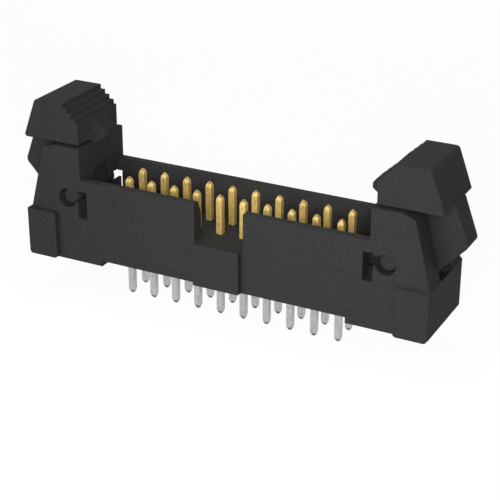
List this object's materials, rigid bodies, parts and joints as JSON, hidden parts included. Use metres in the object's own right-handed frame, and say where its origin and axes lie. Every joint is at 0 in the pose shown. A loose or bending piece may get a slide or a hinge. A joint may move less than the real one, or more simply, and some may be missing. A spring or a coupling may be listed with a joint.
{
  "type": "two-row box header with ejector latches",
  "caption": "Straight two-row box header for a flat cable socket, with a keyed long wall, through-hole contacts and a hinged ejector latch at each end.",
  "frame": {"origin": "centre of the contact grid, on the board's top face, where the housing's feet stand", "axes": "+X along the contact rows, away from the marked first contact; +Y from the keyed long wall to the plain one; +Z out of the board, the way the cable socket leaves"},
  "size_m": [0.0372, 0.0069, 0.0157],
  "materials": {
    "housing_plastic": "matt",
    "latch_plastic": "matt",
    "contact_metal": "gold plated posts and tin plated tails"
  },
  "bodies": {
    "header": {"housing": "housing_plastic", "contact_01": "contact_metal", "contact_02": "contact_metal", "contact_03": "contact_metal", "contact_04": "contact_metal", "contact_05": "contact_metal", "contact_06": "contact_metal", "contact_07": "contact_metal", "contact_08": "contact_metal", "contact_09": "contact_metal", "contact_10": "contact_metal", "contact_11": "contact_metal", "contact_12": "contact_metal", "contact_13": "contact_metal", "contact_14": "contact_metal", "contact_15": "contact_metal", "contact_16": "contact_metal", "contact_17": "contact_metal", "contact_18": "contact_metal", "contact_19": "contact_metal", "contact_20": "contact_metal"},
    "left_latch": {"latch_left": "latch_plastic"},
    "right_latch": {"latch_right": "latch_plastic"}
  },
  "joints": [
    {"name": "left_latch_pivot", "type": "hinge", "parent": "header", "child": "left_latch", "pos_m": [-0.01337, 0, 0.00528], "axis": [0, -1, 0], "range_deg": [0, 20]},
    {"name": "right_latch_pivot", "type": "hinge", "parent": "header", "child": "right_latch", "pos_m": [0.01337, 0, 0.00528], "axis": [0, 1, 0], "range_deg": [0, 20]}
  ]
}
